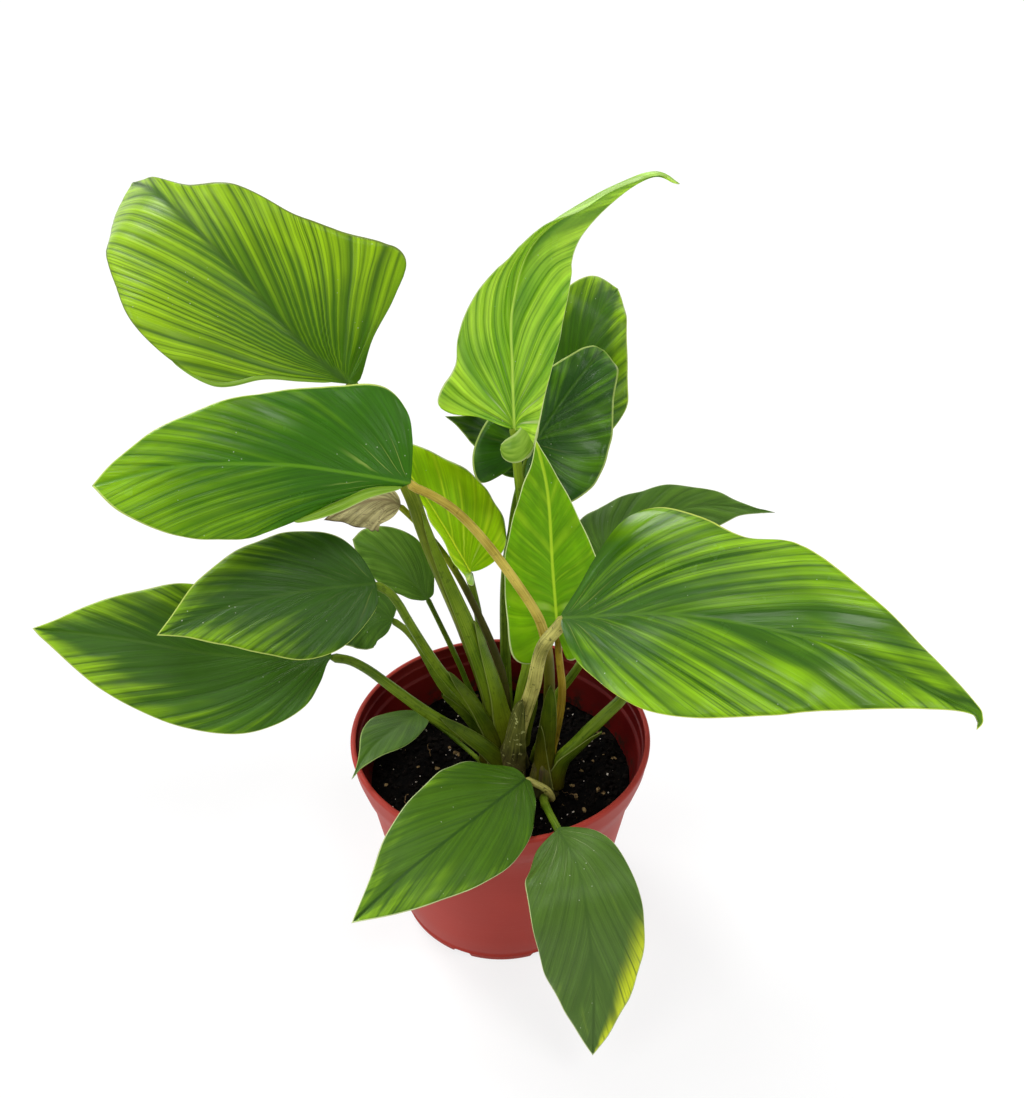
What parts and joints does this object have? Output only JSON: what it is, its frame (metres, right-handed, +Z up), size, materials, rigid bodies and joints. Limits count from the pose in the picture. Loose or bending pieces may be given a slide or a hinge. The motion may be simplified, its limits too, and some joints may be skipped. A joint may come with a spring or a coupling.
{
  "type": "potted homalomena",
  "caption": "Foliage plant with broad, pointed, heart-shaped striped leaves on thick stalks, growing from clustered crowns in a round tapered nursery pot of dark soil.",
  "frame": {"origin": "centre of the pot's flat underside, on the surface it stands on", "axes": "+Z up along the pot's axis; -Y towards the front, where two low leaves hang over the rim; +X to the right, towards the largest leaf"},
  "size_m": [0.4171, 0.2715, 0.3949],
  "materials": {
    "pot": "moulded terracotta-red plastic, satin",
    "soil": "dark fibrous potting mix with bark and perlite",
    "crown": "olive leaf sheaths",
    "leaf_bright": "glossy bright green leaf with darker vein stripes",
    "leaf_dark": "glossy dark green leaf",
    "leaf_withered": "dry, papery brown leaf",
    "stalk_green": "smooth green leaf stalk",
    "stalk_tan": "yellowing leaf stalk"
  },
  "bodies": {
    "root": {"pot": "pot", "soil": "soil", "crown_left": "crown", "crown_right": "crown", "leaf_top_left": "leaf_bright", "leaf_upper_left": "leaf_dark", "leaf_top_centre": "leaf_bright", "leaf_large_right": "leaf_bright", "leaf_back_right": "leaf_dark", "leaf_behind_right": "leaf_dark", "leaf_centre": "leaf_bright", "leaf_back_high": "leaf_dark", "leaf_back_inner": "leaf_dark", "leaf_back_left": "leaf_dark", "leaf_folded_centre": "leaf_bright", "leaf_withered": "leaf_withered", "leaf_inner_left": "leaf_dark", "leaf_middle_left": "leaf_dark", "leaf_low_left": "leaf_dark", "leaf_small_hidden": "leaf_dark", "leaf_rim_left": "leaf_dark", "leaf_front_left": "leaf_dark", "leaf_front_right": "leaf_dark", "stalk_top_left": "stalk_green", "stalk_upper_left": "stalk_tan", "stalk_top_centre": "stalk_green", "stalk_large_right": "stalk_green", "stalk_back_right": "stalk_green", "stalk_behind_right": "stalk_green", "stalk_centre": "stalk_tan", "stalk_back_high": "stalk_green", "stalk_back_inner": "stalk_green", "stalk_back_left": "stalk_green", "stalk_folded_centre": "stalk_green", "stalk_withered": "stalk_tan", "stalk_inner_left": "stalk_green", "stalk_middle_left": "stalk_green", "stalk_low_left": "stalk_green", "stalk_small_hidden": "stalk_green", "stalk_rim_left": "stalk_green", "stalk_front_left": "stalk_green", "stalk_front_right": "stalk_green"}
  },
  "joints": []
}
